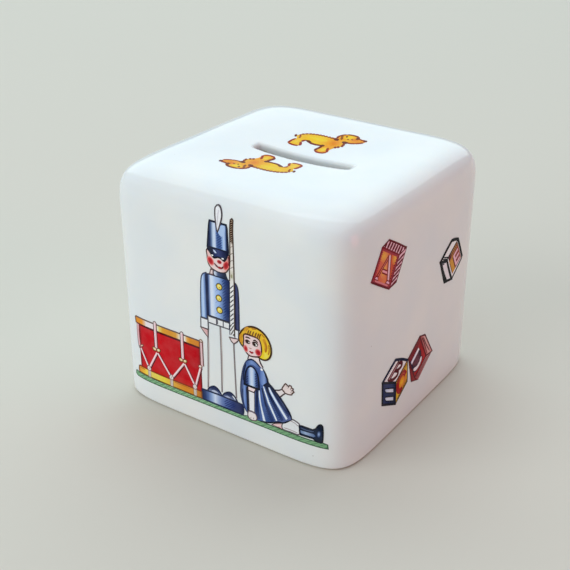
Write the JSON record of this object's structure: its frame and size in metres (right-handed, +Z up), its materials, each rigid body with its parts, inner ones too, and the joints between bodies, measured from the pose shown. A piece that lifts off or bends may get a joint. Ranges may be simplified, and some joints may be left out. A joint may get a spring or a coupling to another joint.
{
  "type": "ceramic money box",
  "caption": "Square glazed earthenware money box with rounded edges, a coin slot in the dipped lid, fired nursery prints and a pull-out soft stopper in the foot.",
  "frame": {"origin": "on the table under the middle of the box", "axes": "+Z up through the lid, -Y out of the front wall with the toy scene, +X out of the wall with the tumbling blocks, the coin slot runs along X"},
  "size_m": [0.101, 0.101, 0.0909],
  "materials": {
    "white_glaze": "opaque white glaze over slip-cast earthenware, glossy, pooled slightly in the dipped lid",
    "soft_vinyl": "soft moulded vinyl, off-white, satin",
    "ink_green": "ceramic transfer colour fired into the glaze, glossy and opaque, leaf green with a dark outline",
    "ink_red": "ceramic transfer colour fired into the glaze, glossy and opaque, scarlet with maroon shading",
    "ink_blue": "ceramic transfer colour fired into the glaze, glossy and opaque, cobalt blue shaded from pale to navy",
    "ink_blue_and_yellow": "ceramic transfer colour fired into the glaze, glossy and opaque, cobalt blue with a yellow head of hair",
    "ink_navy": "ceramic transfer colour fired into the glaze, glossy and opaque, navy with yellow-brown shading",
    "ink_navy_and_yellow": "ceramic transfer colour fired into the glaze, glossy and opaque, navy, white and yellow faces",
    "ink_yellow": "ceramic transfer colour fired into the glaze, glossy and opaque, golden yellow with a brown outline"
  },
  "bodies": {
    "bank": {"bank_body": "white_glaze", "front_ground": "ink_green", "front_drum": "ink_red", "front_soldier": "ink_blue", "front_doll": "ink_blue_and_yellow", "back_ground": "ink_green", "back_drum": "ink_red", "back_soldier": "ink_blue", "back_doll": "ink_blue_and_yellow", "right_block_upper": "ink_red", "right_block_middle": "ink_navy", "right_block_lower": "ink_navy_and_yellow", "right_block_fallen": "ink_red", "left_block_upper": "ink_red", "left_block_middle": "ink_navy", "left_block_lower": "ink_navy_and_yellow", "left_block_fallen": "ink_red", "lid_dog_back": "ink_yellow", "lid_dog_front": "ink_yellow"},
    "stopper": {"stopper": "soft_vinyl"}
  },
  "joints": [
    {"name": "stopper_pull", "type": "slide", "parent": "bank", "child": "stopper", "axis": [0, 0, -1], "range_m": [0, 0.02]}
  ]
}
